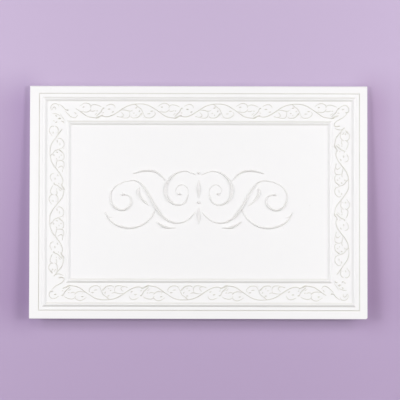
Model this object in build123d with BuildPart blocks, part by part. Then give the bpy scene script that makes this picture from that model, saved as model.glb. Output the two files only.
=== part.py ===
"""A folded note card with a blind-embossed front leaf.

One sheet of white card stock is creased along its long top edge. The back leaf lies flat on
the table and the front leaf springs open by a small angle. A scored line, a raised panel and
two ridged beads are pressed into the front leaf from behind, so the sheet keeps its
thickness and each raised form has its hollow on the inside of the leaf.

Frame: +X along the fold, +Y towards the fold, +Z up out of the front of the card. The origin
is under the middle of the card, on the table.
"""

import os
from math import asin, atan2, cos, hypot, radians, sin, tan

from build123d import *

# ---------------------------------------------------------------- driving dimensions, in mm
card_width = 123.8  # along the fold
card_height = 85.4  # from the outside of the fold to the free edge
stock = 0.35  # thickness of the card stock
fold_inner_radius = 0.25  # inside the crease
spring_angle = 1.7  # degrees by which the front leaf stands open

side_margin = 3.12  # card's edge to the middle of the scored line, left and right
end_margin = 2.89  # the same at the fold and at the free edge
die_offset_x = 0.30  # the die struck a little off the middle of the leaf
die_offset_y = 0.15
score_width = 0.45  # the narrow groove that edges the panel
score_depth = 0.16  # its bottom below the margin
panel_rise = 0.12  # the whole panel inside the scored line stands up by this

bead_width = 1.66  # each ridged bead, at its foot
bead_rise = 0.55  # each bead above the panel
crest_radius = 0.20  # the round crest where a bead's two flanks meet
outer_bead_inset = 1.33  # scored line to the outer foot of the outer bead
inner_bead_inset = 10.06  # scored line to the outer foot of the inner bead

worn_corner = 0.45  # the free corner at +X is rubbed off by this

# ---------------------------------------------------------------- sizes that follow from them
fold_outer_radius = fold_inner_radius + stock
leaf_length = card_height - fold_outer_radius  # flat part of each leaf, fold to free edge
fold_axis_y = card_height / 2 - fold_outer_radius
lean = radians(spring_angle)
die_width = card_width - 2 * side_margin  # the scored line, between its middles
die_height = card_height - 2 * end_margin

# The front leaf starts where the fold's outside becomes tangent to its slope.
leaf_start = Vector(0, fold_axis_y + fold_outer_radius * sin(lean), fold_outer_radius * (1 + cos(lean)))
leaf_run = Vector(0, -cos(lean), sin(lean))
leaf_up = Vector(0, sin(lean), cos(lean))
leaf_middle = leaf_start + leaf_run * (leaf_start.Y / cos(lean))

# On this plane x runs along the fold, y runs up the leaf to the fold, and z = 0 is the
# front surface of the plain margin.
leaf_plane = Plane(origin=leaf_middle, x_dir=(1, 0, 0), z_dir=leaf_up)
die_plane = leaf_plane.shift_origin(leaf_plane.from_local_coords(Vector(die_offset_x, die_offset_y, 0)))

# A bead has two straight flanks that run into a round crest. The flank angle comes from
# half_width * sin(a) + (crest_radius - bead_rise) * cos(a) = crest_radius.
bead_half = bead_width / 2
flank = asin(crest_radius / hypot(bead_half, crest_radius - bead_rise)) - atan2(crest_radius - bead_rise, bead_half)
crest_centre = bead_rise - crest_radius
flank_top = (crest_centre + crest_radius * cos(flank), crest_radius * sin(flank))

# Its hollow has flanks parallel to those, one stock thickness inside, that meet in a point.
hollow_height = bead_half * tan(flank) - stock / cos(flank) + stock
hollow_half = hollow_height / tan(flank)


def rectangle_path(inset: float, height: float) -> Wire:
    """A closed rectangle round the die.

    Args:
        inset: Distance inside the scored line.
        height: Distance above the leaf's plain front surface.

    Returns:
        The rectangle as one wire.
    """
    with BuildSketch(die_plane.offset(height)) as outline:
        Rectangle(die_width - 2 * inset, die_height - 2 * inset)
    return outline.sketch.face().outer_wire()


def section_plane(path: Wire) -> Plane:
    """A plane across the start of a path, for the section that is swept along it.

    Args:
        path: A wire that lies in the plane of the leaf.

    Returns:
        The plane: its x points out of the leaf's front and its y across the path.
    """
    return Plane(origin=path @ 0, x_dir=leaf_up, z_dir=path % 0)


# ---------------------------------------------------------------- the sheet
with BuildPart() as folded_card:
    # Creased sheet: back leaf, fold and front leaf in one section along the fold.
    with BuildSketch(Plane.YZ.offset(-card_width / 2)) as creased_section:
        with BuildLine():
            fold_axis = (fold_axis_y, fold_outer_radius)
            sweep_angle = 180 - spring_angle
            free_edge = leaf_start + leaf_run * leaf_length
            inner_start = leaf_start - leaf_up * stock
            inner_edge = free_edge - leaf_up * stock
            back_edge_y = fold_axis_y - leaf_length
            Line((back_edge_y, stock), (back_edge_y, 0))
            Line((back_edge_y, 0), (fold_axis_y, 0))
            CenterArc(fold_axis, fold_outer_radius, -90, sweep_angle)
            Line((leaf_start.Y, leaf_start.Z), (free_edge.Y, free_edge.Z))
            Line((free_edge.Y, free_edge.Z), (inner_edge.Y, inner_edge.Z))
            Line((inner_edge.Y, inner_edge.Z), (inner_start.Y, inner_start.Z))
            CenterArc(fold_axis, fold_inner_radius, -90, sweep_angle)
            Line((fold_axis_y, stock), (back_edge_y, stock))
        make_face()
    extrude(amount=card_width)

    # The free corner of the front leaf that is rubbed off.
    front_edge_ends = folded_card.edges().filter_by(lambda edge: abs(edge.length - stock) < 1e-4)
    worn_edge = front_edge_ends.group_by(Axis.Z)[-1].sort_by(Axis.X)[-1]
    chamfer(worn_edge, length=worn_corner)

    # The panel inside the scored line: up on the front, and as much up on the inside.
    with BuildSketch(die_plane):
        Rectangle(die_width, die_height)
    extrude(amount=panel_rise)
    with BuildSketch(die_plane.offset(-stock)):
        Rectangle(die_width - score_width, die_height - score_width)
    extrude(amount=panel_rise, mode=Mode.SUBTRACT)

    # The scored line: a narrow groove round the panel's edge.
    score_path = rectangle_path(0, panel_rise)
    with BuildSketch(section_plane(score_path)):
        with BuildLine():
            groove_bottom = (-score_depth - panel_rise, 0)
            Polyline((0, -score_width / 2), groove_bottom, (0, score_width / 2), close=True)
        make_face()
    sweep(path=score_path, transition=Transition.RIGHT, mode=Mode.SUBTRACT)

    # The two beads, each with its hollow on the inside of the leaf.
    for inset in (outer_bead_inset, inner_bead_inset):
        bead_path = rectangle_path(inset + bead_half, panel_rise)
        with BuildSketch(section_plane(bead_path)):
            with BuildLine():
                up, across = flank_top
                Line((0, -bead_half), (up, -across))
                ThreePointArc((up, -across), (bead_rise, 0), (up, across))
                Line((up, across), (0, bead_half))
                Line((0, bead_half), (0, -bead_half))
            make_face()
        sweep(path=bead_path, transition=Transition.RIGHT)

        hollow_path = rectangle_path(inset + bead_half, panel_rise - stock)
        with BuildSketch(section_plane(hollow_path)):
            with BuildLine():
                Polyline((0, -hollow_half), (hollow_height, 0), (0, hollow_half), close=True)
            make_face()
        sweep(path=hollow_path, transition=Transition.RIGHT, mode=Mode.SUBTRACT)

folded_card.part.label = "folded_card"

# ---------------------------------------------------------------- output
os.makedirs("parts", exist_ok=True)
export_step(folded_card.part, "parts/folded_card.step")

box = folded_card.part.bounding_box()
print(f"folded_card: {box.size.X:.3f} x {box.size.Y:.3f} x {box.size.Z:.3f} mm")
print(f"volume {folded_card.part.volume:.1f} mm3, solids {len(folded_card.solids())}")
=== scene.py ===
"""A folded note card of white stock with a blind-embossed front leaf.

One sheet is creased along its long far edge and springs open a little. A scored line, a
raised panel, two ridged beads, a scrolling vine between them and a pen flourish in the
middle are pressed up out of the front leaf.

Frame: +X along the fold, +Y towards the fold, +Z up. The origin is under the card's middle.
Shapes are drawn in millimetres and brought to metres when each piece is finished.
"""

import logging
import math
from collections.abc import Callable
from dataclasses import dataclass, field
from enum import Enum

import bpy
from mathutils import Matrix, Vector


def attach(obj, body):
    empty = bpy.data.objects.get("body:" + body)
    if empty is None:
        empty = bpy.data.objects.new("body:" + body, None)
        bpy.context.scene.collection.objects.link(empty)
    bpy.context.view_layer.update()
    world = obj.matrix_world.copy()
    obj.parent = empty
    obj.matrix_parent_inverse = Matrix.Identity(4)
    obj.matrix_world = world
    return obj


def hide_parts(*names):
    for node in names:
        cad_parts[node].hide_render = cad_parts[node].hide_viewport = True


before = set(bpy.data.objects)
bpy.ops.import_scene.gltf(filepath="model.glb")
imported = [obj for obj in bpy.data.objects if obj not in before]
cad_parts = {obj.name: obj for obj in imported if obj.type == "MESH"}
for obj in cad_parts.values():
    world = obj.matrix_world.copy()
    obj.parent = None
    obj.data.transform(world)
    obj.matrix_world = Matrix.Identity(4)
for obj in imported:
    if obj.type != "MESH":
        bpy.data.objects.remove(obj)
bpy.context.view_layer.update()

logging.basicConfig(level=logging.INFO, format="%(levelname)s %(message)s")
LOG = logging.getLogger("note_card")

MM = 0.001
NEAR = 0.01  # how near to an edge, in mm, a vertex counts as on it

Point = tuple[float, float]
Place = tuple[float, float, float]
Colour = tuple[float, float, float, float]
Tree = bpy.types.NodeTree
Socket = bpy.types.NodeSocket
Node = bpy.types.Node


class Pen(Enum):
    """How the width of a raised stroke runs from its start to its end, in mm."""

    HAIR = (0.15, 0.28, 0.30, 0.28, 0.15)
    FAINT = (0.12, 0.24, 0.24, 0.12)
    DROP = (0.18, 0.29, 0.30, 0.36, 0.54)
    BUD = (0.22, 0.48, 0.22)
    SMALL_BUD = (0.18, 0.36, 0.18)
    FAT_BUD = (0.34, 0.70, 0.34)
    STEM = (0.26, 0.33, 0.34, 0.34, 0.34, 0.33, 0.30)
    SWELL = (0.35, 0.45, 0.80, 1.10, 0.85, 0.50, 0.40)
    RETURN = (0.40, 0.42, 0.60, 0.95, 0.80, 0.50, 0.42)
    LEAF = (0.25, 0.70, 1.15, 0.90, 0.35)
    BALL = (0.50, 1.15, 0.50)


@dataclass(frozen=True)
class Stroke:
    """A raised stroke through a few points.

    Attributes:
        pen: The run of its width.
        path: The points that its middle goes through, in mm.
    """

    pen: Pen
    path: tuple[Point, ...]

    def turned(self, quarter_turns: int) -> "Stroke":
        """The stroke turned anticlockwise about the origin by quarter turns."""
        cos, sin = ((1, 0), (0, 1), (-1, 0), (0, -1))[quarter_turns % 4]
        return Stroke(self.pen, tuple((x * cos - y * sin, x * sin + y * cos) for x, y in self.path))

    def moved(self, dx: float, dy: float) -> "Stroke":
        """The stroke moved by (dx, dy)."""
        return Stroke(self.pen, tuple((x + dx, y + dy) for x, y in self.path))

    def stretched(self, along: float) -> "Stroke":
        """The stroke with its x drawn longer or shorter by a factor."""
        return Stroke(self.pen, tuple((x * along, y) for x, y in self.path))

    def mirrored(self) -> "Stroke":
        """The stroke mirrored left to right."""
        return Stroke(self.pen, tuple((-x, y) for x, y in self.path))


@dataclass(frozen=True)
class CardSize:
    """The sizes of the folded card, in mm.

    Attributes:
        width: Size along the fold.
        height: Size from the fold to the free edge.
        stock: Thickness of the card stock.
        fold_inner_radius: Inside radius of the fold.
        spring_angle: How far the front leaf springs open, in radians.
        worn_corner: Length rubbed off each side of the worn corner.
    """

    width: float = 123.8
    height: float = 85.4
    stock: float = 0.35
    fold_inner_radius: float = 0.25
    spring_angle: float = math.radians(1.7)
    worn_corner: float = 0.45

    @property
    def fold_radius(self) -> float:
        """Outside radius of the fold."""
        return self.fold_inner_radius + self.stock

    @property
    def fold_y(self) -> float:
        """Where the axis of the fold lies along Y."""
        return self.height / 2 - self.fold_radius

    @property
    def leaf_length(self) -> float:
        """Flat length of each leaf, from the fold to its free edge."""
        return self.height - self.fold_radius

    @property
    def leaf_start(self) -> Vector:
        """Where the front leaf's outer face runs into the fold."""
        lean = self.spring_angle
        rise = self.fold_radius * (1 + math.cos(lean))
        return Vector((0, self.fold_y + self.fold_radius * math.sin(lean), rise))

    @property
    def leaf_matrix(self) -> Matrix:
        """Leaf coordinates to card coordinates: x along the fold, y up the leaf, z off its face."""
        lean = self.spring_angle
        start = self.leaf_start
        rise = start.z + start.y * math.tan(lean)
        return Matrix.Translation((0, 0, rise)) @ Matrix.Rotation(-lean, 4, "X")

    @property
    def leaf_top(self) -> float:
        """The y of the fold's edge in leaf coordinates."""
        return self.leaf_start.y / math.cos(self.spring_angle)


@dataclass(frozen=True)
class DieSize:
    """The sizes of the embossed frame, in mm.

    Attributes:
        offset: Where the die's middle lies from the card's middle.
        half_width: From the die's middle to the scored line, along X.
        half_height: The same along Y.
        score_width: Width of the scored line.
        score_depth: Its depth.
        panel_rise: How far the panel inside the line is raised.
        bead_width: Width of each bead at its foot.
        bead_rise: Height of each bead above the panel.
        outer_bead_inset: From the scored line to the foot of the outer bead.
        inner_bead_inset: From the scored line to the foot of the inner bead.
        crest_radius: Radius of a bead's round crest.
        bead_steps: Flat steps across a bead.
    """

    offset: Point = (0.30, 0.15)
    half_width: float = 58.78
    half_height: float = 39.81
    score_width: float = 0.45
    score_depth: float = 0.16
    panel_rise: float = 0.12
    bead_width: float = 1.66
    bead_rise: float = 0.55
    outer_bead_inset: float = 1.33
    inner_bead_inset: float = 10.06
    crest_radius: float = 0.20
    bead_steps: int = 16

    def bead_height(self, across: float) -> float:
        """Height of a bead's outer face: straight flanks that run into a round crest.

        Args:
            across: Distance from the bead's middle line, in mm.

        Returns:
            The height, in mm.
        """
        half, crest = self.bead_width / 2, self.crest_radius
        over = crest - self.bead_rise
        flank = math.asin(crest / math.hypot(half, over)) - math.atan2(over, half)
        if abs(across) < crest * math.sin(flank):
            return math.sqrt(crest**2 - across**2) - over
        return (half - abs(across)) * math.tan(flank)

    @property
    def field_middle(self) -> Point:
        """Half width and half height of the line midway between the two beads."""
        inset = (self.outer_bead_inset + self.bead_width + self.inner_bead_inset) / 2
        return self.half_width - inset, self.half_height - inset


class Element(Enum):
    """What a selection in edit mode is made of."""

    VERTEX = "VERT"
    EDGE = "EDGE"


def select_only(target: bpy.types.Object) -> None:
    """Selects one object and makes it active."""
    bpy.ops.object.select_all(action="DESELECT")
    target.select_set(True)
    bpy.context.view_layer.objects.active = target


def select_where(target: bpy.types.Object, kind: Element, rule: Callable[[Vector], bool]) -> None:
    """Selects the vertices that a rule picks, or the edges between them, in edit mode.

    Args:
        target: The mesh object.
        kind: What the selection is made of.
        rule: A function from a vertex position to True or False.
    """
    bpy.ops.object.mode_set(mode="EDIT")
    bpy.ops.mesh.select_mode(type="VERT")
    bpy.ops.mesh.select_all(action="DESELECT")
    bpy.ops.object.mode_set(mode="OBJECT")
    for vertex in target.data.vertices:
        vertex.select = bool(rule(vertex.co))
    bpy.ops.object.mode_set(mode="EDIT")
    bpy.ops.mesh.select_mode(type=kind.value)


def apply_modifier(target: bpy.types.Object, name: str) -> None:
    """Applies one modifier of an object."""
    select_only(target)
    bpy.ops.object.modifier_apply(modifier=name)


@dataclass
class FoldedSheet:
    """The creased sheet with its scored line, panel and beads.

    Attributes:
        card: Sizes of the card.
        die: Sizes of the embossed frame.
        fold_steps: Flat steps round the fold.
        cell: Size of the cells that the front leaf is cut into, in mm.
        cut_shift: How far those cuts are moved, so that none runs through a corner, in mm.
    """

    card: CardSize = field(default_factory=CardSize)
    die: DieSize = field(default_factory=DieSize)
    fold_steps: int = 20
    cell: float = 6.2
    cut_shift: float = 0.013

    def build(self) -> bpy.types.Object:
        """Builds the sheet as one closed mesh, in mm.

        Returns:
            The sheet.
        """
        sheet = self._front_leaf()
        self._press_frame(sheet)
        self._wear_corner(sheet)
        self._fold(sheet)
        self._thicken(sheet)
        return sheet

    def _front_leaf(self) -> bpy.types.Object:
        """The front leaf's outer face, flat, in leaf coordinates.

        Returns:
            A mesh object of one face.
        """
        card = self.card
        bpy.ops.object.select_all(action="DESELECT")
        bpy.ops.mesh.primitive_plane_add(size=1, location=(0, card.leaf_top - card.leaf_length / 2, 0))
        leaf = bpy.context.object
        leaf.name = "embossed_card"
        leaf.scale = (card.width, card.leaf_length, 1)
        bpy.ops.object.transform_apply(location=True, rotation=True, scale=True)
        return leaf

    def _press_frame(self, leaf: bpy.types.Object) -> None:
        """Presses the scored line, the panel and both beads into the leaf by repeated insets.

        Args:
            leaf: The flat leaf; not used.
        """
        card, die = self.card, self.die
        groove = die.score_width / 2
        lip = groove * die.score_depth / (die.score_depth + die.panel_rise)
        bpy.ops.object.mode_set(mode="EDIT")
        bpy.ops.mesh.select_mode(type="FACE")
        bpy.ops.mesh.select_all(action="SELECT")
        first = card.height / 2 - die.half_height - lip
        bpy.ops.mesh.inset(thickness=first, depth=0)
        middle = card.leaf_top - card.leaf_length / 2
        wide = (die.half_width + lip) / (card.width / 2 - first)
        tall = (die.half_height + lip) / (card.leaf_length / 2 - first)
        bpy.ops.transform.resize(value=(wide, tall, 1), center_override=(0, middle, 0))
        bpy.ops.transform.translate(value=(die.offset[0], die.offset[1] - middle, 0))
        bpy.ops.mesh.inset(thickness=lip, depth=-die.score_depth)
        bpy.ops.mesh.inset(thickness=groove, depth=die.score_depth + die.panel_rise)
        bpy.ops.mesh.inset(thickness=die.outer_bead_inset - groove, depth=0)
        self._press_bead()
        between = die.inner_bead_inset - die.outer_bead_inset - die.bead_width
        bpy.ops.mesh.inset(thickness=between, depth=0)
        self._press_bead()
        self._grid()
        bpy.ops.object.mode_set(mode="OBJECT")

    def _grid(self) -> None:
        """Cuts the leaf into cells, so that each flat face stays small."""
        card = self.card
        for axis, reach in enumerate((card.width / 2, card.height / 2)):
            count = round(2 * reach / self.cell)
            for step in range(1, count):
                place, normal = [0.0, 0.0, 0.0], [0.0, 0.0, 0.0]
                place[axis] = reach * (2 * step / count - 1) + self.cut_shift
                normal[axis] = 1.0
                bpy.ops.mesh.select_all(action="SELECT")
                bpy.ops.mesh.bisect(plane_co=place, plane_no=normal)

    def _press_bead(self) -> None:
        """Presses one ridged bead round the selected face."""
        die = self.die
        across = die.bead_width / die.bead_steps
        heights = [die.bead_height(step * across - die.bead_width / 2) for step in range(die.bead_steps + 1)]
        for before, after in zip(heights, heights[1:]):
            bpy.ops.mesh.inset(thickness=across, depth=after - before)

    def _wear_corner(self, leaf: bpy.types.Object) -> None:
        """Rubs off the free corner on the +X side.

        Args:
            leaf: The leaf, still flat.
        """
        card = self.card
        low = card.leaf_top - card.leaf_length
        right = card.width / 2
        select_where(leaf, Element.VERTEX, lambda co: co.x > right - NEAR and co.y < low + NEAR)
        bpy.ops.mesh.bevel(offset=card.worn_corner, segments=1, affect="VERTICES")
        bpy.ops.object.mode_set(mode="OBJECT")

    def _fold(self, leaf: bpy.types.Object) -> None:
        """Tilts the leaf, spins its edge round the fold and draws out the back leaf.

        Args:
            leaf: The pressed leaf.
        """
        card = self.card
        leaf.matrix_world = card.leaf_matrix
        select_only(leaf)
        bpy.ops.object.transform_apply(location=True, rotation=True, scale=True)
        start = card.leaf_start
        select_where(leaf, Element.EDGE, lambda co: co.y > start.y - NEAR)
        bpy.ops.mesh.spin(
            steps=self.fold_steps,
            angle=math.pi - card.spring_angle,
            center=(0, card.fold_y, card.fold_radius),
            axis=(1, 0, 0),
        )
        bpy.ops.mesh.extrude_edges_move(TRANSFORM_OT_translate={"value": (0, -card.leaf_length, 0)})
        bpy.ops.mesh.select_all(action="SELECT")
        bpy.ops.mesh.normals_make_consistent(inside=False)
        bpy.ops.object.mode_set(mode="OBJECT")
        front = max(leaf.data.polygons, key=lambda polygon: polygon.center.z)
        if front.normal.z < 0:
            bpy.ops.object.mode_set(mode="EDIT")
            bpy.ops.mesh.flip_normals()
            bpy.ops.object.mode_set(mode="OBJECT")

    def _thicken(self, sheet: bpy.types.Object) -> None:
        """Gives the sheet its thickness, inwards, so that each raised form is hollow inside.

        Args:
            sheet: The folded surface.
        """
        wall = sheet.modifiers.new("stock", "SOLIDIFY")
        wall.thickness = self.card.stock
        wall.offset = -1
        wall.use_quality_normals = True
        apply_modifier(sheet, wall.name)


@dataclass
class PenRelief:
    """Raised strokes with a soft foot and a round back, rooted in the panel of the front leaf.

    Attributes:
        card: Sizes of the card.
        die: Sizes of the embossed frame.
        height: Height of a stroke as a share of its width.
        foot: How far a stroke's foot lies below the panel as a share of its width.
        root: Depth of a stroke below the panel as a share of its width.
        section_steps: Flat steps over the back of a stroke.
        path_steps: Steps along a stroke between two of its points.
        merge_gap: How near two points count as one where a stroke is capped, in mm.
    """

    card: CardSize = field(default_factory=CardSize)
    die: DieSize = field(default_factory=DieSize)
    height: float = 0.62
    foot: float = 0.04
    root: float = 0.16
    section_steps: int = 8
    path_steps: int = 4
    merge_gap: float = 0.0005

    def build(self, strokes: list[Stroke]) -> bpy.types.Object:
        """Makes one mesh of closed strokes, placed on the front leaf, in mm.

        Args:
            strokes: The strokes in die coordinates.

        Returns:
            The strokes as one mesh object.
        """
        section = self._section()
        curve = bpy.data.curves.new("strokes", "CURVE")
        curve.dimensions = "2D"
        curve.fill_mode = "NONE"
        curve.bevel_mode = "OBJECT"
        curve.bevel_object = section
        curve.use_fill_caps = True
        curve.resolution_u = self.path_steps
        for stroke in strokes:
            self._draw(curve, stroke)
        relief = bpy.data.objects.new("strokes", curve)
        bpy.context.scene.collection.objects.link(relief)
        select_only(relief)
        bpy.ops.object.convert(target="MESH")
        bpy.ops.object.mode_set(mode="EDIT")
        bpy.ops.mesh.select_all(action="SELECT")
        bpy.ops.mesh.remove_doubles(threshold=self.merge_gap)
        bpy.ops.mesh.normals_make_consistent(inside=False)
        bpy.ops.object.mode_set(mode="OBJECT")
        on_die = Matrix.Translation((self.die.offset[0], self.die.offset[1], self.die.panel_rise))
        relief.matrix_world = self.card.leaf_matrix @ on_die
        bpy.ops.object.transform_apply(location=True, rotation=True, scale=True)
        bpy.data.objects.remove(section)
        return relief

    def _section(self) -> bpy.types.Object:
        """The outline across a stroke that is one unit wide.

        Returns:
            A closed flat curve.
        """
        outline = []
        for step in range(self.section_steps + 1):
            across = 0.5 - step / self.section_steps
            bell = 0.5 + 0.5 * math.cos(2 * math.pi * across)
            outline.append((across, bell * (self.height + self.foot) - self.foot))
        outline += [(-0.5, -self.root), (0.5, -self.root)]
        curve = bpy.data.curves.new("section", "CURVE")
        curve.dimensions = "2D"
        spline = curve.splines.new("POLY")
        spline.points.add(len(outline) - 1)
        for point, (x, y) in zip(spline.points, outline):
            point.co = (x, y, 0, 1)
        spline.use_cyclic_u = True
        section = bpy.data.objects.new("section", curve)
        bpy.context.scene.collection.objects.link(section)
        return section

    def _draw(self, curve: bpy.types.Curve, stroke: Stroke) -> None:
        """Adds one smooth stroke to a curve.

        Args:
            curve: The curve that holds the strokes.
            stroke: The stroke to add.
        """
        spline = curve.splines.new("BEZIER")
        count = len(stroke.path)
        spline.bezier_points.add(count - 1)
        widths = stroke.pen.value
        for index, (point, (x, y)) in enumerate(zip(spline.bezier_points, stroke.path)):
            place = index / (count - 1) * (len(widths) - 1)
            low = min(int(place), len(widths) - 2)
            share = place - low
            point.co = (x, y, 0)
            point.handle_left_type = point.handle_right_type = "AUTO"
            point.radius = widths[low] * (1 - share) + widths[low + 1] * share


@dataclass
class VineBorder:
    """The scrolling vine between the two beads.

    One period of the vine is drawn round its crest: x runs along the side and y away from
    the card's middle. The corner scrolls are drawn in die coordinates. The lower and right
    sides are the upper and left ones turned half round.

    Attributes:
        die: Sizes of the embossed frame.
        period: Length of one period along the long sides, in mm.
        short_stretch: How much shorter the period is along the short sides.
        crest: Where a crest lies on the long upper side.
        short_crest: Where a crest lies on the short left side.
        turned_shift: How far the lower side is moved along +X.
        lift: How far the vine lies off the middle of its field.
        upper_ends: Where the strokes of the upper side start and end along it.
        lower_ends: The same on the lower side, which is turned half round.
        side_ends: The same on the short sides.
        repeats: How many periods are tried on either side of the named crest.
    """

    die: DieSize = field(default_factory=DieSize)
    period: float = 28.8
    short_stretch: float = 0.872
    crest: float = 6.6
    short_crest: float = 18.0
    turned_shift: float = 1.1
    lift: float = 0.12
    upper_ends: Point = (-45.6, 51.6)
    lower_ends: Point = (-46.6, 51.6)
    side_ends: Point = (-28.4, 28.6)
    repeats: int = 3

    def strokes(self) -> list[Stroke]:
        """All strokes of the border in die coordinates.

        Returns:
            The strokes.
        """
        wide, tall = self.die.field_middle
        motif = [stroke.moved(0, tall + self.lift) for stroke in self._motif()]
        short_motif = [
            stroke.stretched(self.short_stretch).moved(0, wide + self.lift / 2) for stroke in self._motif()
        ]
        top = self._run(motif, self.period, self.crest, self.upper_ends)
        bottom = self._run(motif, self.period, self.crest - self.turned_shift, self.lower_ends)
        short_period = self.period * self.short_stretch
        side = self._run(short_motif, short_period, self.short_crest, self.side_ends)
        corners = self._upper_left() + self._upper_right()
        strokes = top + [stroke.turned(2) for stroke in bottom]
        strokes += [stroke.turned(1) for stroke in side] + [stroke.turned(3) for stroke in side]
        strokes += corners + [stroke.turned(2) for stroke in corners]
        return strokes

    def _run(self, motif: list[Stroke], period: float, crest: float, ends: Point) -> list[Stroke]:
        """Repeats the motif along a side, keeping the strokes that fit between two ends.

        Args:
            motif: The strokes of one period.
            period: Length of one period.
            crest: Where one crest lies.
            ends: Where the run starts and where it ends.

        Returns:
            The strokes along the side.
        """
        low, high = ends
        kept = []
        for step in range(-self.repeats, self.repeats + 1):
            for stroke in motif:
                placed = stroke.moved(crest + step * period, 0)
                xs = [x for x, _ in placed.path]
                if low <= min(xs) and max(xs) <= high:
                    kept.append(placed)
        return kept

    def _motif(self) -> list[Stroke]:
        """One period of the vine.

        Returns:
            The strokes, x from the crest and y from the middle of the field.
        """
        hair, faint, drop = Pen.HAIR, Pen.FAINT, Pen.DROP
        bud, small, fat, stem = Pen.BUD, Pen.SMALL_BUD, Pen.FAT_BUD, Pen.STEM
        return [
            # the main stem, rising to the crest and falling from it
            Stroke(
                stem,
                (
                    (-13.8, -1.8), (-12.1, -2.25), (-10.4, -1.9), (-7.2, -0.1),
                    (-5.0, 1.35), (-3.2, 2.1), (-0.9, 2.5),
                ),
            ),
            Stroke(stem, ((-1.0, 2.5), (1.7, 2.45), (3.7, 1.9), (5.7, 0.75))),
            Stroke(stem, ((5.6, 0.8), (7.2, -0.25), (8.7, -1.35), (10.2, -2.2), (12.4, -2.6), (13.6, -2.7))),
            Stroke(fat, ((12.9, -2.8), (13.7, -2.5), (14.6, -2.0))),
            Stroke(bud, ((14.2, -2.15), (15.0, -1.85), (15.7, -1.6))),
            # curls on the inner side of the crest
            Stroke(hair, ((-6.6, 0.25), (-5.2, 0.25), (-4.1, 0.0), (-3.0, -0.1), (-2.3, 0.25))),
            Stroke(hair, ((-7.8, -2.15), (-6.6, -2.35), (-5.7, -1.85), (-5.8, -1.35), (-6.5, -0.55))),
            Stroke(small, ((-8.2, -2.1), (-7.8, -2.15), (-7.4, -2.2))),
            Stroke(hair, ((-3.6, -0.2), (-3.4, -1.55), (-3.9, -2.45), (-5.1, -2.7), (-6.4, -2.55))),
            Stroke(
                drop,
                ((-3.0, -2.05), (-2.8, -2.45), (-1.6, -2.65), (-0.2, -2.3), (0.5, -1.6), (1.1, -0.95)),
            ),
            Stroke(small, ((-2.2, -0.95), (-1.9, -0.9), (-1.6, -0.85))),
            Stroke(small, ((-1.2, -1.95), (-1.1, -1.65), (-1.0, -1.35))),
            # the leaf that hangs from the crest
            Stroke(hair, ((-1.7, 2.45), (-1.0, 2.05), (-0.4, 1.55))),
            Stroke(hair, ((-1.0, 1.75), (-0.1, 1.25), (0.8, 0.6), (1.2, -0.25), (1.8, -1.45))),
            Stroke(bud, ((-1.5, 1.0), (-1.1, 1.05), (-0.7, 1.15))),
            Stroke(bud, ((-0.1, -0.45), (0.1, -0.15), (0.3, 0.15))),
            Stroke(faint, ((1.4, -2.5), (2.0, -2.6))),
            # the open spiral under the falling stem
            Stroke(
                hair,
                ((1.7, -1.25), (2.2, -2.25), (3.7, -2.65), (5.2, -2.15), (6.0, -0.95), (5.6, -0.35)),
            ),
            Stroke(small, ((3.0, -1.15), (3.6, -1.1), (4.2, -1.05))),
            Stroke(bud, ((4.2, -0.2), (4.7, -0.15), (5.2, -0.1))),
            # curls on the outer side, over the trough
            Stroke(
                hair,
                ((6.9, 1.65), (8.0, 2.35), (9.0, 2.8), (10.2, 2.6), (11.0, 1.95), (11.1, 1.4), (10.8, 1.15)),
            ),
            Stroke(bud, ((8.0, 1.25), (8.4, 1.35), (8.8, 1.4))),
            Stroke(faint, ((8.3, -0.1), (8.3, 0.4))),
            Stroke(hair, ((7.2, -0.25), (8.6, -0.45), (9.9, -0.45), (10.8, 0.1), (11.2, 0.7))),
            Stroke(hair, ((11.15, 1.65), (11.8, 2.15), (12.8, 2.2), (14.2, 1.8), (15.0, 1.35))),
            Stroke(hair, ((10.8, 0.05), (11.6, -0.2), (12.4, -0.1), (12.8, 0.15))),
            Stroke(small, ((13.1, -0.1), (13.4, -0.05), (13.7, 0.0))),
            Stroke(stem, ((15.8, 0.95), (15.3, 0.55), (15.0, -0.2), (14.1, -1.15), (13.1, -2.05))),
            Stroke(faint, ((13.5, -0.85), (13.0, -1.15), (12.5, -1.65))),
            Stroke(bud, ((15.4, 1.0), (15.8, 0.95), (16.1, 0.85))),
            Stroke(small, ((15.4, -0.85), (15.7, -0.8), (16.0, -0.75))),
            Stroke(hair, ((16.6, 1.65), (17.6, 2.15), (18.9, 2.35), (19.8, 1.8), (20.1, 0.95))),
            Stroke(bud, ((17.3, 0.55), (17.8, 0.6), (18.3, 0.65))),
            Stroke(bud, ((18.8, -0.6), (19.2, -0.45), (19.6, -0.25))),
        ]

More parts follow.
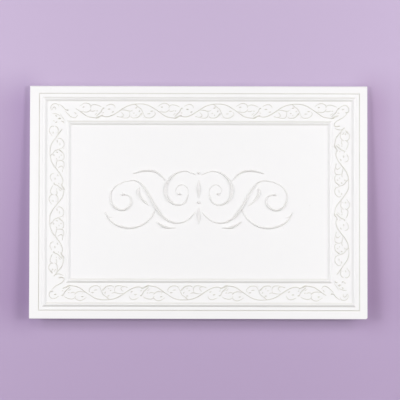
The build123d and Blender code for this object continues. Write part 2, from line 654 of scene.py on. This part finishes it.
    def _upper_left(self) -> list[Stroke]:
        """The double scroll of the upper left corner.

        Returns:
            The strokes in die coordinates.
        """
        drawn = [
            Stroke(
                Pen.HAIR,
                ((-51.6, 34.6), (-51.8, 35.35), (-53.0, 35.85), (-54.2, 35.3), (-54.6, 34.3), (-54.3, 33.4)),
            ),
            Stroke(Pen.HAIR, ((-54.2, 33.5), (-53.8, 34.25), (-53.3, 34.6), (-52.8, 34.2), (-52.8, 33.5))),
            Stroke(Pen.STEM, ((-52.9, 22.8), (-52.1, 24.2), (-51.2, 25.4), (-50.4, 26.5))),
            Stroke(
                Pen.DROP,
                ((-51.5, 35.6), (-50.7, 35.1), (-50.0, 34.5), (-49.4, 33.75), (-48.8, 33.5), (-48.2, 33.5)),
            ),
            Stroke(Pen.HAIR, ((-49.3, 33.1), (-48.1, 31.9), (-46.9, 30.9), (-45.6, 30.7), (-44.7, 31.7))),
            Stroke(Pen.SMALL_BUD, ((-45.9, 32.8), (-45.6, 32.4), (-45.2, 32.0))),
            Stroke(Pen.HAIR, ((-54.0, 32.2), (-53.0, 32.15), (-51.9, 31.8), (-51.0, 31.3))),
            Stroke(Pen.BUD, ((-52.9, 31.55), (-52.6, 31.35), (-52.3, 31.1))),
            Stroke(Pen.FAT_BUD, ((-51.9, 30.3), (-51.4, 30.4), (-50.9, 30.3))),
            Stroke(Pen.SMALL_BUD, ((-53.7, 29.6), (-53.4, 29.5), (-53.1, 29.4))),
            Stroke(Pen.BUD, ((-52.9, 28.85), (-52.5, 29.05), (-52.2, 29.3))),
            Stroke(Pen.BUD, ((-50.7, 29.4), (-50.0, 29.2), (-49.7, 28.6))),
            Stroke(Pen.FAINT, ((-51.0, 32.2), (-50.6, 31.2), (-49.9, 30.3), (-49.5, 29.5))),
        ]
        return [stroke.moved(0, self.lift) for stroke in drawn]

    def _upper_right(self) -> list[Stroke]:
        """The scroll and the turned stem of the upper right corner.

        Returns:
            The strokes in die coordinates.
        """
        drawn = [
            Stroke(
                Pen.DROP,
                (
                    (51.4, 34.5), (52.5, 35.2), (53.5, 35.45), (54.6, 34.7),
                    (54.8, 33.4), (54.2, 32.7), (53.6, 32.75),
                ),
            ),
            Stroke(Pen.BUD, ((52.2, 33.8), (52.6, 33.85), (53.1, 34.0))),
            Stroke(
                Pen.DROP,
                (
                    (54.0, 32.2), (52.8, 31.0), (51.2, 30.05), (50.0, 29.3),
                    (49.5, 28.3), (50.0, 27.65), (51.4, 27.8),
                ),
            ),
            Stroke(Pen.HAIR, ((49.7, 26.95), (50.8, 26.5), (52.0, 26.4), (53.3, 27.1))),
            Stroke(Pen.BUD, ((53.6, 26.2), (54.0, 25.6), (54.4, 25.1))),
            Stroke(Pen.SMALL_BUD, ((53.45, 24.6), (53.6, 24.8), (53.75, 25.0))),
            Stroke(Pen.HAIR, ((53.15, 25.6), (52.85, 25.1), (52.5, 24.6))),
        ]
        return [stroke.moved(0, self.lift) for stroke in drawn]


@dataclass
class PenFlourish:
    """The pen flourish in the middle of the panel, the same on both sides.

    Attributes:
        centre: The middle of the flourish in die coordinates.
    """

    centre: Point = (-0.2, 0.3)

    def strokes(self) -> list[Stroke]:
        """All strokes of the flourish in die coordinates.

        Returns:
            The strokes.
        """
        half = self._right_half()
        drawn = half + [stroke.mirrored() for stroke in half] + self._middle()
        return [stroke.moved(*self.centre) for stroke in drawn]

    def _right_half(self) -> list[Stroke]:
        """The scrolls to the right of the middle.

        Returns:
            The strokes from the flourish's middle.
        """
        return [
            Stroke(
                Pen.SWELL,
                ((1.2, -4.2), (5.2, -7.6), (11.0, -7.4), (15.6, -2.6), (18.8, 3.0), (22.6, 7.2), (27.4, 7.0)),
            ),
            Stroke(
                Pen.RETURN,
                ((27.4, 7.0), (31.4, 4.4), (32.2, 0.0), (29.4, -3.2), (25.6, -2.2), (25.0, 1.2), (27.6, 2.4)),
            ),
            Stroke(Pen.BALL, ((27.2, 2.2), (27.8, 2.3), (28.4, 2.1))),
            Stroke(
                Pen.SWELL,
                ((1.0, 9.6), (5.4, 10.9), (10.2, 8.6), (12.2, 3.6), (9.8, -0.8), (5.6, -1.0), (3.8, 2.2)),
            ),
            Stroke(Pen.HAIR, ((3.8, 2.2), (4.4, 5.0), (7.0, 5.8), (8.4, 3.8), (7.4, 2.4))),
            Stroke(Pen.BALL, ((6.6, 2.3), (7.1, 2.5), (7.6, 2.6))),
            Stroke(
                Pen.RETURN,
                ((15.6, -2.6), (18.0, -6.8), (22.8, -9.6), (28.0, -9.6), (32.4, -7.4), (34.4, -4.2)),
            ),
            Stroke(Pen.HAIR, ((34.4, -4.2), (33.4, -5.6), (31.6, -6.2))),
            Stroke(Pen.SWELL, ((12.2, 7.4), (15.4, 10.4), (20.0, 11.0), (24.0, 10.0))),
            Stroke(Pen.LEAF, ((18.2, -1.8), (20.4, 0.2), (22.2, 3.4), (21.6, 5.0))),
            Stroke(Pen.LEAF, ((8.4, -9.9), (12.4, -9.6), (15.6, -7.6))),
        ]

    def _middle(self) -> list[Stroke]:
        """The drop and buds on the line of symmetry.

        Returns:
            The strokes from the flourish's middle.
        """
        return [
            Stroke(Pen.LEAF, ((0.0, 7.6), (0.0, 4.6), (0.0, 1.2))),
            Stroke(Pen.LEAF, ((0.0, -8.6), (0.0, -5.6), (0.0, -2.4))),
            Stroke(Pen.BALL, ((-0.6, -0.6), (0.0, -0.6), (0.6, -0.6))),
            Stroke(Pen.BALL, ((-0.5, 10.2), (0.0, 10.2), (0.5, 10.2))),
        ]


def feed(tree: Tree, socket: Socket, value: Socket | float | Colour) -> None:
    """Links an input to a socket, or sets it to a number or a colour.

    Args:
        tree: The node tree or group that holds the input.
        socket: The input.
        value: What it takes.
    """
    if isinstance(value, Socket):
        tree.links.new(value, socket)
    else:
        socket.default_value = value


def add_math(tree: Tree, operation: str, *values: Socket | float) -> Socket:
    """Adds a maths node.

    Args:
        tree: The node tree or group that it goes into.
        operation: The node's operation.
        values: Sockets or numbers for its inputs.

    Returns:
        The socket with the result.
    """
    node = tree.nodes.new("ShaderNodeMath")
    node.operation = operation
    for socket, value in zip(node.inputs, values):
        feed(tree, socket, value)
    return node.outputs["Value"]


def add_mix(
    tree: Tree, share: Socket, first: Socket | Colour, second: Socket | Colour, blend: str = "MIX"
) -> Socket:
    """Adds a mix of two colours.

    Args:
        tree: The node tree or group that it goes into.
        share: How much of the second colour there is.
        first: The first colour.
        second: The second colour.
        blend: The node's way of blending them.

    Returns:
        The socket with the mixed colour.
    """
    node = tree.nodes.new("ShaderNodeMix")
    node.data_type = "RGBA"
    node.blend_type = blend
    feed(tree, node.inputs["Factor"], share)
    feed(tree, node.inputs["A"], first)
    feed(tree, node.inputs["B"], second)
    return node.outputs["Result"]


def add_ease(tree: Tree, value: Socket, start: float, end: float, most: float = 1.0) -> Socket:
    """Adds a smooth rise from 0 while a value goes from its start to its end.

    Args:
        tree: The node tree or group that it goes into.
        value: The socket with the value.
        start: The value at which the rise starts.
        end: The value at which it ends.
        most: What it rises to.

    Returns:
        The socket with the result.
    """
    node = tree.nodes.new("ShaderNodeMapRange")
    node.interpolation_type = "SMOOTHSTEP"
    node.inputs["From Min"].default_value = start
    node.inputs["From Max"].default_value = end
    node.inputs["To Max"].default_value = most
    tree.links.new(value, node.inputs["Value"])
    return node.outputs["Result"]


def start_group(name: str, **outputs: str) -> tuple[Tree, Socket, Node]:
    """Starts a shader node group that reads a place.

    Args:
        name: The group's name.
        outputs: The type of each output by its name.

    Returns:
        The group, the socket with the place and the node that takes the outputs.
    """
    group = bpy.data.node_groups.new(name, "ShaderNodeTree")
    group.interface.new_socket("Place", in_out="INPUT", socket_type="NodeSocketVector")
    for output, kind in outputs.items():
        group.interface.new_socket(output, in_out="OUTPUT", socket_type=f"NodeSocket{kind}")
    place = group.nodes.new("NodeGroupInput").outputs["Place"]
    return group, place, group.nodes.new("NodeGroupOutput")


def add_group(tree: Tree, group: Tree, place: Socket) -> Node:
    """Puts a group that reads a place into a material.

    Args:
        tree: The material's node tree.
        group: The group.
        place: The socket with the place.

    Returns:
        The group's node.
    """
    node = tree.nodes.new("ShaderNodeGroup")
    node.node_tree = group
    tree.links.new(place, node.inputs["Place"])
    return node


@dataclass(frozen=True)
class CardStockFinish:
    """Uncoated white card stock, with painted shade on the steep flanks of its raised forms.

    Attributes:
        colour: The stock's own colour.
        roughness: How matt it is.
        specular: Its specular level.
        mottle_scale: Fineness of its slight mottle, per metre.
        mottle_detail: Detail of the mottle.
        mottle_shade: The mottle's darkest colour as a share of the stock's own.
        tooth_scale: Fineness of the paper's tooth, per metre.
        tooth_detail: Detail of the tooth.
        tooth_strength: Strength of the tooth.
        tooth_depth: Depth of the tooth, in metres.
        flank_shade_colour: Painted shade on the steep flanks of the raised forms.
        flank_shade_gentle: Cosine of the slope where the painted shade sets in.
        flank_shade_steep: Cosine of the slope where it is full.
        flank_shade_margin: How far past a bead's foot the bead's share of the painted shade reaches, in mm.
        vine_shade_share: Share of the painted shade on the vine, and again on its flanks that face along Y.
        middle_shade_share: The same on the flourish in the middle.
        score_shade_share: Share of the painted shade in the scored line.
        bead_shade_share: Share of the painted shade on the flanks of the beads that face along Y.
        mark_colour: The colour of the faint marks.
        mark_strength: Share of that colour in the middle of a mark.
        marks: Place and radius of each mark, in mm from the card's middle.
        card: Sizes of the card.
        die: Sizes of the embossed frame.
    """

    colour: Colour = (0.87, 0.86, 0.865, 1)
    roughness: float = 0.9
    specular: float = 0.25
    mottle_scale: float = 260.0
    mottle_detail: float = 3.0
    mottle_shade: float = 0.985
    tooth_scale: float = 5200.0
    tooth_detail: float = 2.0
    tooth_strength: float = 0.12
    tooth_depth: float = 0.00002
    flank_shade_colour: Colour = (0.67, 0.655, 0.60, 1)
    flank_shade_gentle: float = 0.97
    flank_shade_steep: float = 0.60
    flank_shade_margin: float = 0.1
    vine_shade_share: float = 0.62
    middle_shade_share: float = 0.22
    score_shade_share: float = 0.65
    bead_shade_share: float = 1.7
    mark_colour: Colour = (0.62, 0.60, 0.61, 1)
    mark_strength: float = 0.22
    marks: tuple[Place, ...] = ((-54.3, 41.6, 0.35), (40.7, -1.1, 0.45), (31.2, -9.4, 0.35))
    card: CardSize = CardSize()
    die: DieSize = DieSize()

    def material(self) -> bpy.types.Material:
        """Makes the card stock's material.

        Returns:
            The material.
        """
        material = bpy.data.materials.new("white_card_stock")
        material.use_nodes = True
        tree = material.node_tree
        shader = tree.nodes["Principled BSDF"]
        shader.inputs["Roughness"].default_value = self.roughness
        shader.inputs["Specular IOR Level"].default_value = self.specular
        place = tree.nodes.new("ShaderNodeTexCoord").outputs["Object"]
        paper = add_group(tree, self._paper_group(), place)
        marks = add_group(tree, self._marks_group(), place)
        flank_shade_node = add_group(tree, self._flank_shade_group(), place)
        marked = add_mix(tree, marks.outputs["Mask"], paper.outputs["Colour"], self.mark_colour)
        # painted shade: the steep flanks of the raised forms are darkened in colour
        flank_shaded = add_mix(tree, flank_shade_node.outputs["Mask"], marked, self.flank_shade_colour)
        tree.links.new(flank_shaded, shader.inputs["Base Color"])
        bump = tree.nodes.new("ShaderNodeBump")
        bump.inputs["Strength"].default_value = self.tooth_strength
        bump.inputs["Distance"].default_value = self.tooth_depth
        tree.links.new(paper.outputs["Height"], bump.inputs["Height"])
        tree.links.new(bump.outputs["Normal"], shader.inputs["Normal"])
        return material

    def _paper_group(self) -> Tree:
        """The mottled colour and the tooth of uncoated paper.

        Returns:
            A node group with outputs Colour and Height.
        """
        group, place, end = start_group("paper", Colour="Color", Height="Float")
        mottle = self._noise(group, place, self.mottle_scale, self.mottle_detail)
        tooth = self._noise(group, place, self.tooth_scale, self.tooth_detail)
        shade = tuple(part * self.mottle_shade for part in self.colour[:3]) + (1,)
        group.links.new(add_mix(group, mottle, self.colour, shade), end.inputs["Colour"])
        group.links.new(tooth, end.inputs["Height"])
        return group

    @staticmethod
    def _noise(group: Tree, place: Socket, scale: float, detail: float) -> Socket:
        """Adds a noise texture.

        Args:
            group: The node group that it goes into.
            place: The socket with the place.
            scale: Its fineness, per metre.
            detail: Its detail.

        Returns:
            The socket with its value.
        """
        node = group.nodes.new("ShaderNodeTexNoise")
        node.inputs["Scale"].default_value = scale
        node.inputs["Detail"].default_value = detail
        group.links.new(place, node.inputs["Vector"])
        return node.outputs["Fac"]

    def _flank_shade_group(self) -> Tree:
        """Painted shade on the steep flanks of the raised forms on the front, more on those that face along
        Y.

        Returns:
            A node group with the output Mask.
        """
        group, place, end = start_group("painted_flank_shade", Mask="Float")
        normal = group.nodes.new("ShaderNodeNewGeometry").outputs["Normal"]
        lean = self.card.spring_angle
        upright = group.nodes.new("ShaderNodeVectorMath")
        upright.operation = "DOT_PRODUCT"
        upright.inputs[1].default_value = (0, math.sin(lean), math.cos(lean))
        group.links.new(normal, upright.inputs[0])
        steep = add_ease(group, upright.outputs["Value"], self.flank_shade_gentle, self.flank_shade_steep)
        outward = add_math(group, "GREATER_THAN", upright.outputs["Value"], 0.0)
        axes = group.nodes.new("ShaderNodeSeparateXYZ")
        group.links.new(place, axes.inputs["Vector"])
        sides = group.nodes.new("ShaderNodeSeparateXYZ")
        group.links.new(normal, sides.inputs["Vector"])
        die, margin = self.die, self.flank_shade_margin
        outer_start = die.outer_bead_inset - margin
        outer_end = die.outer_bead_inset + die.bead_width + margin
        inner_start = die.inner_bead_inset - margin
        inner_end = die.inner_bead_inset + die.bead_width + margin
        # painted shade on the steep flanks, weighted field by field
        everywhere = (
            (-die.score_width, self.score_shade_share),
            (outer_start, -self.score_shade_share),
            (outer_end, self.vine_shade_share),
            (inner_start, -self.vine_shade_share),
            (inner_end, self.middle_shade_share),
        )
        # more painted shade on the flanks that face along Y
        facing_y_fields = (
            (outer_start, self.bead_shade_share),
            (outer_end, self.vine_shade_share - self.bead_shade_share),
            (inner_start, self.bead_shade_share - self.vine_shade_share),
            (inner_end, self.middle_shade_share - self.bead_shade_share),
        )
        facing_y = add_math(group, "ABSOLUTE", sides.outputs["Y"])
        beads = add_math(group, "MULTIPLY", self._fields(group, axes, facing_y_fields), facing_y)
        share = add_math(group, "ADD", self._fields(group, axes, everywhere), beads)
        mask = add_math(group, "MULTIPLY", steep, outward)
        group.links.new(add_math(group, "MULTIPLY", mask, share), end.inputs["Mask"])
        return group

    def _fields(self, group: Tree, axes: Node, fields: tuple[Point, ...]) -> Socket:
        """Adds up weights inside rectangles that run along the die's edge.

        Args:
            group: The node group that it goes into.
            axes: The node that gives the place's X and Y.
            fields: How far each rectangle lies inside the die's edge, in mm, and its weight.

        Returns:
            The socket with the sum.
        """
        total = 0.0
        halves = (self.die.half_width, self.die.half_height)
        for inset, weight in fields:
            value = weight
            for axis, middle, half in zip("XY", self.die.offset, halves):
                reach = (half - inset) * MM
                near = add_math(group, "COMPARE", axes.outputs[axis], middle * MM, reach)
                value = add_math(group, "MULTIPLY", near, value)
            total = add_math(group, "ADD", value, total)
        return total

    def _marks_group(self) -> Tree:
        """The few faint marks on the front.

        Returns:
            A node group with the output Mask.
        """
        group, place, end = start_group("faint_marks", Mask="Float")
        flat = group.nodes.new("ShaderNodeVectorMath")
        flat.operation = "MULTIPLY"
        flat.inputs[1].default_value = (1, 1, 0)
        group.links.new(place, flat.inputs[0])
        total = 0.0
        for x, y, radius in self.marks:
            gap = group.nodes.new("ShaderNodeVectorMath")
            gap.operation = "DISTANCE"
            gap.inputs[1].default_value = (x * MM, y * MM, 0)
            group.links.new(flat.outputs["Vector"], gap.inputs[0])
            mark = add_ease(group, gap.outputs["Value"], radius * MM, 0.0, self.mark_strength)
            total = add_math(group, "ADD", mark, total)
        group.links.new(total, end.inputs["Mask"])
        return group


@dataclass
class NoteCard:
    """The whole card: the sheet with its frame, vine and flourish.

    Attributes:
        sheet: The creased sheet.
        vine: The vine border.
        flourish: The flourish in the middle.
        relief: How the strokes of both are raised.
        finish: The card stock's finish.
        smooth_angle: Angle up to which two faces are shaded as one, in radians.
    """

    sheet: FoldedSheet = field(default_factory=FoldedSheet)
    vine: VineBorder = field(default_factory=VineBorder)
    flourish: PenFlourish = field(default_factory=PenFlourish)
    relief: PenRelief = field(default_factory=PenRelief)
    finish: CardStockFinish = field(default_factory=CardStockFinish)
    smooth_angle: float = math.radians(32)

    def build(self) -> bpy.types.Object:
        """Builds and dresses the card and puts it in the place of the CAD sheet.

        Returns:
            The finished card, in metres.
        """
        card = self.sheet.build()
        strokes = self.vine.strokes() + self.flourish.strokes()
        relief = self.relief.build(strokes)
        LOG.info("%d strokes", len(strokes))
        select_only(card)
        relief.select_set(True)
        bpy.ops.object.join()
        card.scale = (MM, MM, MM)
        select_only(card)
        bpy.ops.object.transform_apply(location=True, rotation=True, scale=True)
        bpy.ops.object.shade_smooth_by_angle(angle=self.smooth_angle)
        card.data.materials.clear()
        card.data.materials.append(self.finish.material())
        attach(card, "root")
        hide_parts("folded_card")
        return card


@dataclass(frozen=True)
class FloorFinish:
    """A matt lilac floor, a little darker beside the card's short edges, where a shadow is painted.

    Attributes:
        far: Its colour beyond the fold.
        near: Its colour below the free edge.
        fade: How far from the middle, along Y, each of those is reached, in metres.
        left: Share of its colour in the painted shadow close to the card on the -X side.
        left_far: The same a little farther off.
        right: Share of its colour in the painted shadow close to the card on the +X side.
        right_far: The same a little farther off.
        shadow_start: How far from the middle, along X, the painted shadow starts, in metres.
        shadow_close: Where it is darkest.
        shadow_far: Where it has its second colour.
        shadow_end: Where it has faded out.
        beside: How far from the middle, along Y, the painted shadow is full, in metres.
        beyond: Where it has faded out.
        roughness: How matt the floor is.
        specular: Its specular level.
    """

    far: Colour = (0.542, 0.434, 0.618, 1)
    near: Colour = (0.459, 0.351, 0.533, 1)
    fade: float = 0.055
    left: Colour = (0.77, 0.71, 0.81, 1)
    left_far: Colour = (0.86, 0.82, 0.87, 1)
    right: Colour = (0.80, 0.73, 0.79, 1)
    right_far: Colour = (0.93, 0.91, 0.93, 1)
    shadow_start: float = 0.055
    shadow_close: float = 0.064
    shadow_far: float = 0.072
    shadow_end: float = 0.1
    beside: float = 0.034
    beyond: float = 0.052
    roughness: float = 0.9
    specular: float = 0.2

    def material(self) -> bpy.types.Material:
        """Makes the floor's material.

        Returns:
            The material.
        """
        material = bpy.data.materials.new("pale_lilac_floor")
        material.use_nodes = True
        tree = material.node_tree
        shader = tree.nodes["Principled BSDF"]
        shader.inputs["Roughness"].default_value = self.roughness
        shader.inputs["Specular IOR Level"].default_value = self.specular
        place = tree.nodes.new("ShaderNodeTexCoord").outputs["Object"]
        axes = tree.nodes.new("ShaderNodeSeparateXYZ")
        tree.links.new(place, axes.inputs["Vector"])
        along = add_ease(tree, axes.outputs["Y"], -self.fade, self.fade)
        plain = add_mix(tree, along, self.near, self.far)
        away = add_math(tree, "ABSOLUTE", axes.outputs["Y"])
        beside = add_ease(tree, away, self.beyond, self.beside)
        # painted shadow: the floor is darkened beside the card's short edges
        shadowed = add_mix(tree, beside, plain, self._side_shadow(tree, axes.outputs["X"]), "MULTIPLY")
        tree.links.new(shadowed, shader.inputs["Base Color"])
        return material

    def _side_shadow(self, tree: Tree, across: Socket) -> Socket:
        """The painted shadow on the floor close to the card's short edges.

        Args:
            tree: The floor's node tree.
            across: The socket with the place's X.

        Returns:
            The socket with the tint.
        """
        reach = self.shadow_end
        span = tree.nodes.new("ShaderNodeMapRange")
        span.inputs["From Min"].default_value = -reach
        span.inputs["From Max"].default_value = reach
        tree.links.new(across, span.inputs["Value"])
        ramp = tree.nodes.new("ShaderNodeValToRGB")
        plain = (1.0, 1.0, 1.0, 1.0)
        stops = (
            (-self.shadow_far, self.left_far),
            (-self.shadow_close, self.left),
            (-self.shadow_start, plain),
            (self.shadow_start, plain),
            (self.shadow_close, self.right),
            (self.shadow_far, self.right_far),
        )
        for end in ramp.color_ramp.elements:
            end.color = plain
        for x, tint in stops:
            ramp.color_ramp.elements.new((x + reach) / (2 * reach)).color = tint
        tree.links.new(span.outputs["Result"], ramp.inputs["Fac"])
        return ramp.outputs["Color"]


@dataclass(frozen=True)
class Lamp:
    """A soft white lamp that points at the card.

    Attributes:
        name: Its name.
        place: Where it stands, in metres.
        width: Width of its face, in metres.
        height: Height of its face, in metres.
        power: Its power, in watts.
    """

    name: str
    place: Place
    width: float
    height: float
    power: float

    @classmethod
    def pair(
        cls, suffix: str, place: Place, width: float, height: float, power: float
    ) -> tuple["Lamp", "Lamp"]:
        """Two lamps alike, one on each side of the card.

        Args:
            suffix: What follows the side in their names.
            place: Where the one on the +X side stands, in metres.
            width: Width of each face, in metres.
            height: Height of each face, in metres.
            power: Power of each, in watts.

        Returns:
            The lamps on the -X side and on the +X side.
        """
        x, y, z = place
        left = cls(f"lamp_left{suffix}", (-x, y, z), width, height, power)
        return left, cls(f"lamp_right{suffix}", place, width, height, power)

    def build(self) -> bpy.types.Object:
        """Makes the lamp.

        Returns:
            The lamp.
        """
        data = bpy.data.lights.new(self.name, "AREA")
        data.shape = "RECTANGLE"
        data.size = self.width
        data.size_y = self.height
        data.energy = self.power
        lamp = bpy.data.objects.new(self.name, data)
        bpy.context.scene.collection.objects.link(lamp)
        lamp.location = self.place
        lamp.rotation_euler = (-Vector(self.place)).to_track_quat("-Z", "Y").to_euler()
        return lamp


@dataclass
class Studio:
    """The floor, the lamps and the camera.

    Attributes:
        floor_size: Side of the square floor, in metres.
        floor_finish: The floor's finish.
        lamps: The lamps, which give all the light.
        aim: Where the camera aims, in metres.
        view_width: Width of the view on the card, in metres.
        lens: Focal length, in mm.
        sensor: Width of the camera's sensor, in mm.
        roll: Turn of the camera about its own axis, in radians.
    """

    floor_size: float = 3.0
    floor_finish: FloorFinish = field(default_factory=FloorFinish)
    lamps: tuple[Lamp, ...] = (
        Lamp("lamp_over", (0.0, 0.75, 0.90), 0.35, 0.35, 2.63),
        *Lamp.pair("_low", (0.55, 0.02, 0.12), 0.16, 0.08, 0.12),
        *Lamp.pair("", (0.5, 0.02, 0.35), 0.16, 0.16, 0.94),
        *Lamp.pair("_near", (0.3, 0.02, 0.3), 0.16, 0.16, 0.25),
        *Lamp.pair("_close", (0.26, 0.02, 0.12), 0.10, 0.08, 0.103),
        *Lamp.pair("_back", (0.45, 0.35, 0.3), 0.16, 0.16, 0.74),
        Lamp("lamp_front", (0.0, -0.6, 0.5), 0.3, 0.3, 1.59),
    )
    aim: Place = (0.0005565, 0.000828, 0.0026)
    view_width: float = 0.14658
    lens: float = 150.0
    sensor: float = 36.0
    roll: float = math.radians(0.12)

    def build(self) -> None:
        """Sets up the floor, the lamps, the dark surroundings and the camera."""
        self._floor()
        for lamp in self.lamps:
            lamp.build()
        world = bpy.data.worlds.new("studio")
        world.use_nodes = True
        world.node_tree.nodes["Background"].inputs["Strength"].default_value = 0.0
        bpy.context.scene.world = world
        bpy.context.scene.view_settings.view_transform = "Standard"
        self._camera()

    def _floor(self) -> None:
        """Lays the plain pale floor."""
        bpy.ops.object.select_all(action="DESELECT")
        bpy.ops.mesh.primitive_plane_add(size=self.floor_size)
        floor = bpy.context.object
        floor.name = "floor"
        floor.data.materials.append(self.floor_finish.material())

    def _camera(self) -> None:
        """Hangs the camera straight over the card."""
        data = bpy.data.cameras.new("camera")
        data.lens = self.lens
        data.sensor_width = self.sensor
        camera = bpy.data.objects.new("camera", data)
        bpy.context.scene.collection.objects.link(camera)
        distance = self.view_width * self.lens / self.sensor
        camera.location = Vector(self.aim) + Vector((0, 0, distance))
        camera.rotation_euler = (0, 0, self.roll)
        bpy.context.scene.camera = camera


def main() -> None:
    """Builds the card and the studio and reports the piece."""
    card = NoteCard().build()
    mesh = card.data
    triangles = sum(len(polygon.vertices) - 2 for polygon in mesh.polygons)
    LOG.info("%s: %d vertices, %d triangles", card.name, len(mesh.vertices), triangles)
    Studio().build()


if __name__ == "__main__":
    main()
